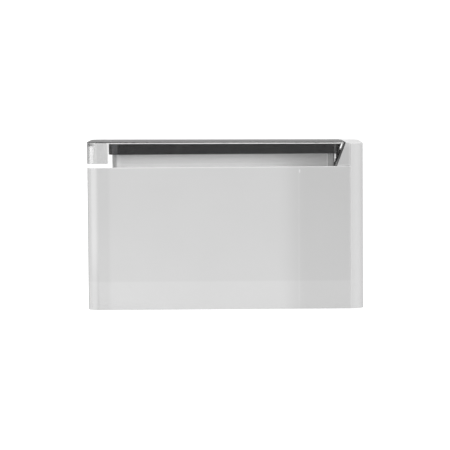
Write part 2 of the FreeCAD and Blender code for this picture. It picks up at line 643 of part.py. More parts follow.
def make_hinge_bracket(x):
    """Plate on the rear wall with an ear either side of the lid's knuckle."""
    half = HINGE_LENGTH / 2
    ear_inner = KNUCKLE_LENGTH / 2 + 0.4
    near, far = REAR + 0.02, REAR + BRACKET_THICK
    plate = box(x - half, x + half, near, far, HINGE_Z - BRACKET_FOOT, HINGE_Z - BRACKET_HEAD)
    foot_corners = [e for e in plate.Edges
                    if e.BoundBox.YLength > 1 and e.BoundBox.ZMax < HINGE_Z - BRACKET_FOOT + 0.1]
    plate = plate.makeFillet(4.0, foot_corners)
    for s in ENDS:
        x0, x1 = sorted((x + s * ear_inner, x + s * half))
        ear = rod(HINGE_RADIUS - 0.1, (x0, REAR, HINGE_Z), (1, 0, 0), x1 - x0)
        web = box(x0, x1, near, far, HINGE_Z - 8, HINGE_Z)
        plate = plate.fuse(ear).fuse(web)
    bore_start = (x - half - 1, REAR, HINGE_Z)
    plate = plate.cut(rod(HINGE_PIN_RADIUS + 0.01, bore_start, (1, 0, 0), HINGE_LENGTH + 2))
    for dx, z in bracket_screws():
        plate = plate.cut(rod(1.6, (x + dx, REAR - 1, z), (0, 1, 0), 6))
    return plate


def make_hinge_pin(x):
    """Stainless pin through a bracket and the lid's knuckle."""
    return rod(HINGE_PIN_RADIUS, (x - HINGE_LENGTH / 2, REAR, HINGE_Z), (1, 0, 0), HINGE_LENGTH)


def make_hinge_screws():
    """Pan-head screws that hold the brackets."""
    return group([screw((x + dx, REAR + BRACKET_THICK, z), (0, -1, 0), *BRACKET_SCREW)
                  for x in HINGE_XS for dx, z in bracket_screws()])


def make_cap_screws():
    """Pan-head screws through the shell's rear wall into the end cap's lip."""
    return group([screw((CAP_SCREW_X, REAR, z), (0, -1, 0), *CAP_SCREW) for z in CAP_SCREW_ZS])


def make_core():
    """Cardboard tube."""
    start = (-ROLL_LENGTH / 2, ROLL_Y, ROLL_HEIGHT)
    tube = rod(CORE_RADIUS, start, (1, 0, 0), ROLL_LENGTH)
    return tube.cut(rod(CORE_BORE, (start[0] - 1, ROLL_Y, ROLL_HEIGHT), (1, 0, 0), ROLL_LENGTH + 2))


def make_film():
    """Wound film on the core."""
    start = (-ROLL_LENGTH / 2 + 2, ROLL_Y, ROLL_HEIGHT)
    length = ROLL_LENGTH - 4
    roll = rod(ROLL_RADIUS, start, (1, 0, 0), length)
    rims = [e for e in roll.Edges if e.BoundBox.XLength < 0.01]
    roll = roll.makeFillet(0.6, rims)
    return roll.cut(rod(CORE_RADIUS + 0.01, (start[0] - 1, ROLL_Y, ROLL_HEIGHT), (1, 0, 0), length + 2))


def make_core_plug(side):
    """End plug: spigot in the core, flange, stub in the cradle and a finger knob outside it."""
    axis = (side, 0, 0)
    inside = ROLL_LENGTH / 2

    def disc(radius, x0, x1):
        return rod(radius, (side * x0, ROLL_Y, ROLL_HEIGHT), axis, x1 - x0)

    stub_end = TRAY_HALF + CRADLE_THICK + 1.0
    flange = disc(PLUG_FLANGE_RADIUS, inside + 0.02, inside + 1.1)
    plug = disc(CORE_BORE - 0.01, inside - 22, inside).fuse(flange)
    plug = plug.fuse(disc(CORE_BORE - 2, inside - 1, inside + 1))
    plug = plug.cut(disc(CORE_BORE - 4, inside - 23, inside - 3))
    plug = plug.fuse(disc(STUB_RADIUS, inside, stub_end + 1))
    knob = disc(KNOB_RADIUS, stub_end, stub_end + KNOB_LENGTH)
    rims = [e for e in knob.Edges if e.BoundBox.XLength < 0.01]
    return plug.fuse(knob.makeFillet(1.2, rims))


def make_guide_shaft():
    """Steel shaft that turns in the two bushes, between their closed ends."""
    half = TRAY_HALF - BUSH_END - FIT
    return rod(SHAFT_RADIUS - RUN, (-half, GUIDE_Y, GUIDE_HEIGHT), (1, 0, 0), 2 * half)


def make_guide_sleeve():
    """Plastic sleeve on the shaft, with shallow grooves that keep the film from clinging."""
    half = TRAY_HALF - TRAY_WALL - 4
    start = (-half, GUIDE_Y, GUIDE_HEIGHT)
    sleeve = rod(GUIDE_RADIUS, start, (1, 0, 0), 2 * half)
    groove_pitch = 24.0
    for i in range(-6, 7):
        x = i * groove_pitch - 1
        ring = rod(GUIDE_RADIUS + 1, (x, GUIDE_Y, GUIDE_HEIGHT), (1, 0, 0), 2)
        ring = ring.cut(rod(GUIDE_RADIUS - 0.6, (x - 1, GUIDE_Y, GUIDE_HEIGHT), (1, 0, 0), 4))
        sleeve = sleeve.cut(ring)
    bore = rod(SHAFT_RADIUS - RUN + 0.01, (-half - 1, GUIDE_Y, GUIDE_HEIGHT), (1, 0, 0), 2 * half + 2)
    return sleeve.cut(bore)


def make_guide_bush(side):
    """Flanged bush that drops into a notch of the tray's end, closed on the outside."""
    axis = (side, 0, 0)
    inner_face = TRAY_HALF - TRAY_WALL

    def disc(radius, x0, x1):
        return rod(radius, (side * x0, GUIDE_Y, GUIDE_HEIGHT), axis, x1 - x0)

    bush = disc(BUSH_RADIUS - 0.03, inner_face - 1.5, TRAY_HALF - 0.1)
    bush = bush.fuse(disc(BUSH_RADIUS + 1.0, inner_face - 1.5, inner_face - 0.05))
    return bush.cut(disc(SHAFT_RADIUS, inner_face - 3, TRAY_HALF - BUSH_END))


save(make_shell(), "shell")
save(make_end_cap(), "end_cap")
save(make_cheek_insert(), "cheek_insert")
save(make_plinth(), "plinth")
save(make_base_plate(), "base_plate")
save(make_feet(), "rubber_feet")
save(make_base_screws(), "base_screws")
save(make_roll_tray(), "roll_tray")
save(make_tray_screws(), "tray_screws")
save(make_cradle_screws(), "cradle_screws")
save(make_buffers(), "lid_buffers")
save(make_lid(), "lid")
save(make_blade_carrier(), "blade_carrier")
save(make_blade(), "cutter_blade")
save(make_blade_screws(), "blade_screws")
save(make_carrier_screws(), "carrier_screws")
save(make_end_seal(), "end_seal")
save(make_hinge_screws(), "hinge_screws")
save(make_cap_screws(), "end_cap_screws")
save(make_core(), "film_core")
save(make_film(), "film_roll")
save(make_guide_shaft(), "guide_shaft")
save(make_guide_sleeve(), "guide_sleeve")
for side, name in ((-1, "left"), (1, "right")):
    save(make_cradle(side), "cradle_" + name)
    save(make_hinge_bracket(side * HINGE_SPACING / 2), "hinge_bracket_" + name)
    save(make_hinge_pin(side * HINGE_SPACING / 2), "hinge_pin_" + name)
    save(make_core_plug(side), "core_plug_" + name)
    save(make_guide_bush(side), "guide_bush_" + name)
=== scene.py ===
import json
import math

import bmesh
import bpy
from mathutils import Matrix, Vector

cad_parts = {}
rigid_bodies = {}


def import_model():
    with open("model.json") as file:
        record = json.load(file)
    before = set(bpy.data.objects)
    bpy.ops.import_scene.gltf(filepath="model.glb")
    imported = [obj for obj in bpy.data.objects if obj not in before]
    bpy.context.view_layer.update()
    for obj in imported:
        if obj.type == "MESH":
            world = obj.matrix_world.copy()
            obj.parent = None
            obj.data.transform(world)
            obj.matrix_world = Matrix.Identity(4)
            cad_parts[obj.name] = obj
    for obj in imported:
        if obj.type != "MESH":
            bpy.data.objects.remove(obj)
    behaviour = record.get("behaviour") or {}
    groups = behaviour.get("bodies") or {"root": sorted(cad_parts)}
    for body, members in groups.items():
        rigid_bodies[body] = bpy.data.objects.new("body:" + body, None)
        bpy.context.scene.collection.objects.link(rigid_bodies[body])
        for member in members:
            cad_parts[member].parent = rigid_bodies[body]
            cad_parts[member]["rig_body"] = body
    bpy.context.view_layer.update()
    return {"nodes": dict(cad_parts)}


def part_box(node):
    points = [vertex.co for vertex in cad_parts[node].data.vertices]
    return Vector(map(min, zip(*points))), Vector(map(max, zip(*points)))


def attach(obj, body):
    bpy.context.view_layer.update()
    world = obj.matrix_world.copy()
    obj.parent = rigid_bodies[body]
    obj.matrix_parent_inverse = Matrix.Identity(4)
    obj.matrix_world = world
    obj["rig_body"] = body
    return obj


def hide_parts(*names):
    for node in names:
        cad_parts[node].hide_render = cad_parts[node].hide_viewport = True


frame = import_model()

nodes = frame["nodes"]


# ---------------------------------------------------------------- base plate, feet and their screws
# A flat grey plastic plate closes the underside, held by six steel screws. Four round rubber feet are
# pushed into holes in it and lift the housing just clear of the counter.


CRISP_ABOVE = 35.0
MERGE_DISTANCE = 0.000002


def new_material(name, **values):
    """A material with one Principled shader, whose plain sockets take these values."""
    material = bpy.data.materials.new(name)
    material.use_nodes = True
    shader = material.node_tree.nodes["Principled BSDF"]
    for socket, value in values.items():
        shader.inputs[socket.replace("_", " ")].default_value = value
    return material, shader


def add(tree, kind, **inputs):
    """A node in a tree, with values for its input sockets."""
    node = tree.nodes.new(kind)
    for socket, value in inputs.items():
        node.inputs[socket.replace("_", " ")].default_value = value
    return node


def maths(tree, operation, *values):
    """A Math node whose inputs are numbers or sockets of other nodes."""
    node = tree.nodes.new("ShaderNodeMath")
    node.operation = operation
    for socket, value in zip(node.inputs, values):
        if isinstance(value, bpy.types.NodeSocket):
            tree.links.new(value, socket)
        else:
            socket.default_value = value
    return node.outputs[0]


def ramp(tree, value, stops, low, high):
    """Values between low and high as value runs over stops, eased at both ends."""
    node = tree.nodes.new("ShaderNodeMapRange")
    node.interpolation_type = "SMOOTHSTEP"
    tree.links.new(value, node.inputs["Value"])
    for socket, number in zip(("From Min", "From Max", "To Min", "To Max"), (*stops, low, high)):
        node.inputs[socket].default_value = number
    return node.outputs["Result"]


def near(tree, value, middle, half_width, inside, outside=1.0):
    """A line where value is close to its middle, soft at both sides."""
    away = maths(tree, "ABSOLUTE", maths(tree, "SUBTRACT", value, middle))
    return ramp(tree, away, (half_width * 0.4, half_width), inside, outside)


def product(tree, *factors):
    """All the factors multiplied together."""
    result = factors[0]
    for factor in factors[1:]:
        result = maths(tree, "MULTIPLY", result, factor)
    return result


def whereabouts(tree):
    """The shaded point as a vector, in the object's own metres."""
    return tree.nodes.new("ShaderNodeTexCoord").outputs["Object"]


def place(tree):
    """The shaded point's X, Y and Z in the object's own metres."""
    split = tree.nodes.new("ShaderNodeSeparateXYZ")
    tree.links.new(whereabouts(tree), split.inputs[0])
    return split.outputs["X"], split.outputs["Y"], split.outputs["Z"]


def grey(tree, level):
    """A colour whose three channels have the same varying level."""
    node = tree.nodes.new("ShaderNodeCombineColor")
    for channel in node.inputs[:3]:
        tree.links.new(level, channel)
    return node.outputs[0]


def scaled(tree, colour, factor):
    """A colour multiplied by a varying factor."""
    node = tree.nodes.new("ShaderNodeVectorMath")
    node.operation = "SCALE"
    tree.links.new(colour, node.inputs[0])
    tree.links.new(factor, node.inputs["Scale"])
    return node.outputs[0]


def finish_group(name, streaks=(1.0, 1.0, 1.0), cloud_depth=0.05, wear_dark=-0.05, wear_rough=0.2):
    """A surface finish as a node group: tone, roughness and height vary with clouds, grain and scuffs."""
    tree = bpy.data.node_groups.new(name, "ShaderNodeTree")
    sockets = (("Tone", "INPUT", "NodeSocketColor"), ("Polish", "INPUT", "NodeSocketFloat"),
               ("Grain", "INPUT", "NodeSocketFloat"), ("Wear", "INPUT", "NodeSocketFloat"),
               ("Color", "OUTPUT", "NodeSocketColor"), ("Roughness", "OUTPUT", "NodeSocketFloat"),
               ("Height", "OUTPUT", "NodeSocketFloat"))
    for socket, way, kind in sockets:
        tree.interface.new_socket(name=socket, in_out=way, socket_type=kind)
    given = tree.nodes.new("NodeGroupInput")
    result = tree.nodes.new("NodeGroupOutput")
    stretch = add(tree, "ShaderNodeMapping", Scale=streaks)
    tree.links.new(whereabouts(tree), stretch.inputs["Vector"])
    cloud = add(tree, "ShaderNodeTexNoise", Scale=14.0, Detail=3.0)
    grain = add(tree, "ShaderNodeTexNoise", Detail=2.0)
    scuff = add(tree, "ShaderNodeTexNoise", Scale=55.0, Detail=6.0, Roughness=0.7)
    for texture in (cloud, grain, scuff):
        tree.links.new(stretch.outputs[0], texture.inputs["Vector"])
    tree.links.new(given.outputs["Grain"], grain.inputs["Scale"])
    worn = ramp(tree, scuff.outputs["Fac"], (0.56, 0.74), 0.0, 1.0)
    worn = maths(tree, "MULTIPLY", worn, given.outputs["Wear"])
    shade = maths(tree, "MULTIPLY_ADD", cloud.outputs["Fac"], cloud_depth, 1.0 - cloud_depth / 2)
    shade = maths(tree, "MULTIPLY_ADD", worn, wear_dark, shade)
    rough = maths(tree, "MULTIPLY_ADD", worn, wear_rough, given.outputs["Polish"])
    uneven = maths(tree, "SUBTRACT", grain.outputs["Fac"], 0.5)
    rough = maths(tree, "MULTIPLY_ADD", uneven, 0.08, rough)
    tree.links.new(scaled(tree, given.outputs["Tone"], shade), result.inputs["Color"])
    tree.links.new(rough, result.inputs["Roughness"])
    tree.links.new(grain.outputs["Fac"], result.inputs["Height"])
    return tree


moulded_finish = finish_group("moulded_finish")


def finish_with(material, shader, tone, polish, grain=900.0, wear=0.3, depth=0.00002, shade=None,
                group=moulded_finish):
    """Gives a material a finish; shade is a socket that the tone is multiplied by."""
    tree = material.node_tree
    finish = tree.nodes.new("ShaderNodeGroup")
    finish.node_tree = group
    finish.inputs["Tone"].default_value = (*tone, 1.0)
    for socket, value in (("Polish", polish), ("Grain", grain), ("Wear", wear)):
        finish.inputs[socket].default_value = value
    colour = finish.outputs["Color"]
    if shade is not None:
        colour = scaled(tree, colour, shade)
    tree.links.new(colour, shader.inputs["Base Color"])
    tree.links.new(finish.outputs["Roughness"], shader.inputs["Roughness"])
    bump = add(tree, "ShaderNodeBump", Strength=0.35, Distance=depth)
    tree.links.new(finish.outputs["Height"], bump.inputs["Height"])
    tree.links.new(bump.outputs[0], shader.inputs["Normal"])
    return colour


def in_scene(name, data):
    """A new object of that data, linked to the scene."""
    made = bpy.data.objects.new(name, data)
    bpy.context.scene.collection.objects.link(made)
    return made


def write_smooth(mesh, data):
    """Writes a bmesh to mesh data, smooth over its rounds and crisp at its edges."""
    for face in mesh.faces:
        face.smooth = True
    for edge in mesh.edges:
        edge.smooth = len(edge.link_faces) == 2 and edge.calc_face_angle(0.0) < math.radians(CRISP_ABOVE)
    mesh.to_mesh(data)
    mesh.free()


def smooth_copy(node, material):
    """A merged copy of a CAD node that stands for it."""
    source = nodes[node]
    piece = in_scene(node + "_finished", source.data.copy())
    mesh = bmesh.new()
    mesh.from_mesh(piece.data)
    bmesh.ops.remove_doubles(mesh, verts=mesh.verts, dist=MERGE_DISTANCE)
    write_smooth(mesh, piece.data)
    weighted = piece.modifiers.new("weighted", "WEIGHTED_NORMAL")
    weighted.keep_sharp = True
    piece.data.materials.clear()
    piece.data.materials.append(material)
    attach(piece, source["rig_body"])
    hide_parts(node)
    return piece


inner_plastic, shader = new_material("inner_plastic", IOR=1.5)
finish_with(inner_plastic, shader, (0.60, 0.60, 0.60), 0.45, grain=1300.0, wear=0.6)
smooth_copy("base_plate", inner_plastic)

drawn_finish = finish_group("drawn_finish", (0.05, 1.0, 1.0), 0.12, -0.08, 0.15)
steel, shader = new_material("steel", IOR=2.5, Metallic=1.0)
finish_with(steel, shader, (0.60, 0.60, 0.61), 0.24, grain=1600.0, wear=0.5, depth=0.00001,
            group=drawn_finish)
smooth_copy("base_screws", steel)

foot_low, foot_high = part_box("rubber_feet")
foot_height = foot_high.z - foot_low.z


def finished_piece(name, mesh, body, stands_for, material):
    """A bmesh as an object that rides on a body and stands for CAD nodes."""
    data = bpy.data.meshes.new(name)
    write_smooth(mesh, data)
    data.materials.append(material)
    piece = in_scene(name, data)
    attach(piece, body)
    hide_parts(*stands_for)
    return piece


def turned(mesh, profile, centre, axis, steps=72, closed=False):
    """Spins a profile of (radius, distance along the axis) points about an axis and adds it to a mesh."""
    axis = Vector(axis)
    outwards = Vector((0.0, 0.0, 1.0)) if abs(axis.x) > 0.5 else Vector((1.0, 0.0, 0.0))
    points = [mesh.verts.new(Vector(centre) + outwards * radius + axis * along) for radius, along in profile]
    pairs = list(zip(points, points[1:]))
    if closed:
        pairs.append((points[-1], points[0]))
    outline = [mesh.edges.new(pair) for pair in pairs]
    bmesh.ops.spin(mesh, geom=points + outline, cent=centre, axis=axis, angle=math.tau, steps=steps,
                   use_merge=True, use_duplicate=False)
    bmesh.ops.remove_doubles(mesh, verts=mesh.verts, dist=MERGE_DISTANCE)
    bmesh.ops.recalc_face_normals(mesh, faces=mesh.faces)


rubber, shader = new_material("rubber", IOR=1.5)
finish_with(rubber, shader, (0.045, 0.045, 0.046), 0.62, grain=2200.0, wear=0.9, depth=0.00004)
foot_radius = 0.00895
foot_profile = ((0.0, 0.0004), (0.0030, 0.0004), (0.0034, 0.0), (0.0046, 0.0), (0.0050, 0.0004),
                (0.0062, 0.0004), (0.0066, 0.0), (foot_radius - 0.0006, 0.0), (foot_radius - 0.0002, 0.0002),
                (foot_radius, 0.0006), (foot_radius, foot_height), (0.0, foot_height))
mesh = bmesh.new()
for foot_x in (foot_low.x + foot_radius, foot_high.x - foot_radius):
    for foot_y in (foot_low.y + foot_radius, foot_high.y - foot_radius):
        turned(mesh, foot_profile, (foot_x, foot_y, foot_low.z), (0, 0, 1), steps=48)
finished_piece("ribbed_feet", mesh, "housing", ["rubber_feet"], rubber)


# ---------------------------------------------------------------- plinth
# The inner floor of the housing, a ribbed grey moulding that sits on bosses and carries the roll tray. Below
# its height the housing's front wall is painted lighter, as painted light through the wall.

smooth_copy("plinth", inner_plastic)
floor_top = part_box("plinth")[1].z


# ---------------------------------------------------------------- housing shell
# Front, left and rear walls: one gloss moulding in a pale grey plastic. Light that it would let through
# from the inner floor, an upright rib and the parts behind its right end is painted into its tone: lighter
# below the floor's height, a light line along the rib with a painted highlight dab at its top, and painted
# shade over the right end. It also has painted shade at the left corner, is painted lighter towards the
# floor, and has painted highlights along the rim and the seam.

shell_low, shell_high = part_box("shell")
front_y = shell_low.y
seam_x = shell_high.x
rim_front_z = shell_high.z
rim_fall = 0.007
shell_depth = 0.136
# Where the painted light line, the painted highlight dab above it and the painted shade at the left corner
# sit.
rib_x = 0.100
rib_top_highlight_x, rib_top_highlight_z = 0.1012, 0.1885
left_turn_x, left_round_x = -0.166, -0.178


def below_rim(tree, y, z):
    """How far the point is under the housing's rim, which falls towards the rear."""
    rim = ramp(tree, y, (front_y, front_y + shell_depth), rim_front_z, rim_front_z - rim_fall)
    rim.node.interpolation_type = "LINEAR"
    return maths(tree, "SUBTRACT", rim, z)


housing_plastic, shader = new_material("housing_plastic", IOR=1.5, Coat_Weight=0.55, Coat_Roughness=0.08)
tree = housing_plastic.node_tree
x, y, z = place(tree)
# Painted light and shade, multiplied into the tone: lighter below the inner floor's height and towards the
# floor, a light line along the rib, a highlight dab at its top, darker over the right end, at the left
# corner's turn and low on the left round, and highlights along the rim and beside the seam.
painted_light_below_floor = ramp(tree, z, (floor_top - 0.0015, floor_top + 0.0015), 1.05, 1.0)
painted_floor_light = ramp(tree, z, (0.0, shell_high.z), 1.035, 0.965)
rib = near(tree, x, rib_x, 0.0016, 1.035)
rib_top_highlight = product(tree, near(tree, x, rib_top_highlight_x, 0.0012, 1.0, 0.0),
                    near(tree, z, rib_top_highlight_z, 0.003, 0.28, 0.0))
rib_top_highlight = maths(tree, "ADD", rib_top_highlight, 1.0)
right_part_shade = ramp(tree, x, (0.070, 0.112), 1.0, 0.875)
corner_shade = near(tree, x, left_turn_x, 0.012, 0.95)
low_corner_shade = product(tree, near(tree, x, left_round_x, 0.007, -0.13, 0.0),
                     ramp(tree, z, (0.02, 0.10), 1.0, 0.0))
low_corner_shade = maths(tree, "ADD", low_corner_shade, 1.0)
rim_highlight = ramp(tree, below_rim(tree, y, z), (0.0004, 0.0017), 1.3, 1.0)
seam_highlight = ramp(tree, x, (seam_x - 0.0014, seam_x - 0.0002), 1.0, 1.16)
shade = product(tree, painted_light_below_floor, painted_floor_light, rib, rib_top_highlight, right_part_shade, corner_shade, low_corner_shade, rim_highlight,
                seam_highlight)
finish_with(housing_plastic, shader, (0.585, 0.585, 0.585), 0.22, shade=shade)
smooth_copy("shell", housing_plastic)


# ---------------------------------------------------------------- end cap, cheek insert and their screws
# The right end of the housing with its deck and the slanted wall that faces the lid, three screws in its
# side lips, and a small four-sided panel clipped into its front. All in the housing's plastic, the panel in
# a darker copy whose darker tone is painted shade. The cap has a painted highlight at its deck's edge and
# along the seam and is painted lighter towards the floor; the panel has painted highlights along its edges.

cap_plastic, shader = new_material("cap_plastic", IOR=1.5, Coat_Weight=0.15, Coat_Roughness=0.3)
tree = cap_plastic.node_tree
x, y, z = place(tree)
deck_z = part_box("end_cap")[1].z
# Painted light: a highlight along the deck's edge, lighter towards the floor and a highlight beside the
# seam.
deck_edge_highlight = ramp(tree, z, (deck_z - 0.0016, deck_z - 0.0002), 1.0, 1.3)
painted_floor_light = ramp(tree, z, (0.0, deck_z), 1.02, 0.99)
seam_highlight = ramp(tree, x, (seam_x, seam_x + 0.0016), 1.06, 1.0)
shade = product(tree, deck_edge_highlight, painted_floor_light, seam_highlight)
finish_with(cap_plastic, shader, (0.575, 0.575, 0.575), 0.46, shade=shade)
smooth_copy("end_cap", cap_plastic)
smooth_copy("end_cap_screws", steel)

cheek_low, cheek_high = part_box("cheek_insert")
# A darker copy of the housing's plastic, the darker tone being painted shade, with painted highlights along
# the lower and right edges and towards the top.
shaded_cheek_plastic, shader = new_material("shaded_cheek_plastic", IOR=1.5, Coat_Weight=0.5, Coat_Roughness=0.06)
tree = shaded_cheek_plastic.node_tree
x, y, z = place(tree)
lower_edge_highlight = ramp(tree, z, (cheek_low.z + 0.0004, cheek_low.z + 0.0018), 1.35, 1.0)
right_edge_highlight = ramp(tree, x, (cheek_high.x - 0.0025, cheek_high.x - 0.0003), 1.0, 1.22)
upper = ramp(tree, z, (cheek_high.z - 0.008, cheek_high.z), 1.0, 1.12)
shade = product(tree, lower_edge_highlight, right_edge_highlight, upper)
finish_with(shaded_cheek_plastic, shader, (0.455, 0.455, 0.455), 0.2, shade=shade)
smooth_copy("cheek_insert", shaded_cheek_plastic)


# ---------------------------------------------------------------- hinge brackets, pins and screws
# Two plastic brackets screwed to the rear wall, each with a pair of ears that hold a steel pin, on which
# the lid's knuckle turns.

bracket_plastic, shader = new_material("bracket_plastic", IOR=1.5)
finish_with(bracket_plastic, shader, (0.60, 0.60, 0.60), 0.38, grain=1200.0, wear=0.5)
for side in ("left", "right"):
    smooth_copy("hinge_bracket_" + side, bracket_plastic)
    smooth_copy("hinge_pin_" + side, steel)
smooth_copy("hinge_screws", steel)


# ---------------------------------------------------------------- roll tray, cradles and buffers
# The inner tray that holds the roll, in a satin grey plastic; two cradles screwed to its ends take the
# roll's stubs, and four soft pads on its rim carry the closed lid. Its front is painted darker towards the
# right end and on the wall that turns back there, with a painted highlight line where the flat front ends
# and painted light on the left corner; the foot of the front wall glows with painted light standing for
# light through the pale housing.

tray_low, tray_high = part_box("roll_tray")
flat_end_x = 0.1395
corner_start_x = 0.142
tray_plastic, shader = new_material("tray_plastic", IOR=1.5, Emission_Strength=1.0)
tree = tray_plastic.node_tree
x, y, z = place(tree)
# Painted shade towards the right end and on the wall that turns back there; a painted highlight line where
# the flat front ends; painted light on the left corner.
shade_towards_end = ramp(tree, x, (0.0, flat_end_x - 0.0005), 1.0, 0.66)
return_wall_shade = ramp(tree, x, (flat_end_x + 0.0001, flat_end_x + 0.0011), 1.0, 0.60)
end_highlight_line = near(tree, x, flat_end_x, 0.0011, 1.45)
left_corner_light = ramp(tree, x, (-corner_start_x - 0.0005, -corner_start_x + 0.0005), 1.1, 1.0)
shade = product(tree, shade_towards_end, end_highlight_line, return_wall_shade, left_corner_light)
finish_with(tray_plastic, shader, (0.60, 0.60, 0.60), 0.35, grain=1100.0, wear=0.4, shade=shade)
# Painted light: the foot of the front face glows, fading upwards and towards the right end, standing for
# light through the pale housing.
outside = ramp(tree, y, (tray_low.y + 0.0006, tray_low.y + 0.0016), 1.0, 0.0)
in_reach = ramp(tree, z, (tray_high.z - 0.026, tray_high.z), 0.78, 0.2)
to_the_end = ramp(tree, x, (0.05, flat_end_x - 0.0015), 0.43, 0.2365)
painted_glow_through_wall = product(tree, outside, in_reach, to_the_end)
tree.links.new(grey(tree, painted_glow_through_wall), shader.inputs["Emission Color"])
smooth_copy("roll_tray", tray_plastic)
smooth_copy("tray_screws", steel)

cradle_plastic, shader = new_material("cradle_plastic", IOR=1.5)
finish_with(cradle_plastic, shader, (0.66, 0.66, 0.65), 0.4, grain=1200.0, wear=0.6)
for side in ("left", "right"):
    smooth_copy("cradle_" + side, cradle_plastic)
smooth_copy("cradle_screws", steel)
smooth_copy("lid_buffers", rubber)


# ---------------------------------------------------------------- core, film and end plugs
# A spirally wound board tube carries the clear film; a plastic plug in each end has the stub that turns in
# the cradle, with a knob outside it. The film's edges are wound slightly unevenly.

film_low, film_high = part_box("film_roll")
roll_axis = Vector((0.0, (film_low.y + film_high.y) / 2, (film_low.z + film_high.z) / 2))
film_radius = (film_high.z - film_low.z) / 2
core_low, core_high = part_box("film_core")
core_radius = (core_high.z - core_low.z) / 2
core_bore = core_radius - 0.002
spiral_pitch = 0.075
edge_round = 0.0006
wind_count = 24


def about_roll(tree):
    """Radius from the roll's axis and angle about it, with the place along it."""
    x, y, z = place(tree)
    y = maths(tree, "SUBTRACT", y, roll_axis.y)
    z = maths(tree, "SUBTRACT", z, roll_axis.z)
    square = maths(tree, "ADD", maths(tree, "MULTIPLY", y, y), maths(tree, "MULTIPLY", z, z))
    radius = maths(tree, "SQRT", square)
    angle = maths(tree, "ARCTAN2", y, z)
    return radius, maths(tree, "DIVIDE", angle, math.tau), x


board, shader = new_material("board", IOR=1.45)
tree = board.node_tree
radius, turns, x = about_roll(tree)
spiral = maths(tree, "FRACT", maths(tree, "MULTIPLY_ADD", x, 1 / spiral_pitch, turns))
shade = near(tree, spiral, 0.5, 0.012, 0.72)
finish_with(board, shader, (0.40, 0.29, 0.19), 0.85, grain=700.0, wear=1.0, depth=0.00006, shade=shade)
length = core_high.x - core_low.x
core_profile = ((core_bore, 0.0), (core_radius - 0.0003, 0.0), (core_radius, 0.0003),
                (core_radius, length - 0.0003), (core_radius - 0.0003, length), (core_bore, length))
mesh = bmesh.new()
turned(mesh, core_profile, (core_low.x, roll_axis.y, roll_axis.z), (1, 0, 0), steps=96, closed=True)
finished_piece("board_tube", mesh, "roll", ["film_core"], board)

film, shader = new_material("film", IOR=1.5, Coat_Weight=0.6, Coat_Roughness=0.05)
tree = film.node_tree
radius, turns, x = about_roll(tree)
wound = tree.nodes.new("ShaderNodeCombineXYZ")
for socket, value, scale in zip(wound.inputs, (x, radius, turns), (55.0, 900.0, 1.5)):
    tree.links.new(maths(tree, "MULTIPLY", value, scale), socket)
bands = add(tree, "ShaderNodeTexNoise", Scale=1.0, Detail=4.0, Roughness=0.6)
tree.links.new(wound.outputs[0], bands.inputs["Vector"])
shade = maths(tree, "MULTIPLY_ADD", bands.outputs["Fac"], 0.22, 0.89)
finish_with(film, shader, (0.70, 0.73, 0.74), 0.14, grain=500.0, wear=0.5, depth=0.00003, shade=shade)
length = film_high.x - film_low.x
film_bore = core_radius + 0.00001
wind = (film_radius - film_bore - edge_round) / wind_count
film_profile = [(film_bore + wind * i, 0.0002 * abs(math.sin(i * 2.3))) for i in range(wind_count + 1)]
film_profile += [(film_radius - 0.0002, 0.0002), (film_radius, edge_round)]
film_profile += [(radius, length - along) for radius, along in reversed(film_profile)]
mesh = bmesh.new()
turned(mesh, film_profile, (film_low.x, roll_axis.y, roll_axis.z), (1, 0, 0), steps=128, closed=True)
finished_piece("wound_film", mesh, "roll", ["film_roll"], film)

for side in ("left", "right"):
    smooth_copy("core_plug_" + side, cradle_plastic)


# ---------------------------------------------------------------- guide roller
# A steel shaft with a dark grooved sleeve turns in two plastic bushes just behind the tray's front rim, and
# leads the film up to the slot. The blade carrier is of the same dark plastic, with a paler patch painted on
# the dark plastic behind the lid's left clip: painted light for the clip's refraction.

smooth_copy("guide_shaft", steel)
dark_plastic, shader = new_material("dark_plastic", IOR=1.5, Specular_IOR_Level=0.22)
tree = dark_plastic.node_tree
clip_x = 0.150
x, y, z = place(tree)
# Painted light: a paler patch on the dark plastic behind the lid's left clip, for the clip's refraction.
painted_clip_light_patch = near(tree, x, -clip_x, 0.0055, 5.2)
finish_with(dark_plastic, shader, (0.020, 0.020, 0.021), 0.26, grain=1400.0, wear=0.6,
            shade=painted_clip_light_patch)
smooth_copy("guide_sleeve", dark_plastic)
for side in ("left", "right"):
    smooth_copy("guide_bush_" + side, cradle_plastic)


# ---------------------------------------------------------------- clear lid
# One clear moulding: top, front apron, left and rear walls, slanted right end, clips and hinge knuckles.
# Its clear tint is darkened as painted shade where its left corners turn and along their upper edge, its
# right front clip glows with a painted glint, and hair scratches dull the gloss in places.

lid_low, lid_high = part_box("lid")
rear_turn_x = -0.1655
clear_plastic, shader = new_material("clear_plastic", IOR=1.49, Transmission_Weight=1.0,
                                     Emission_Strength=1.0)
tree = clear_plastic.node_tree
x, y, z = place(tree)
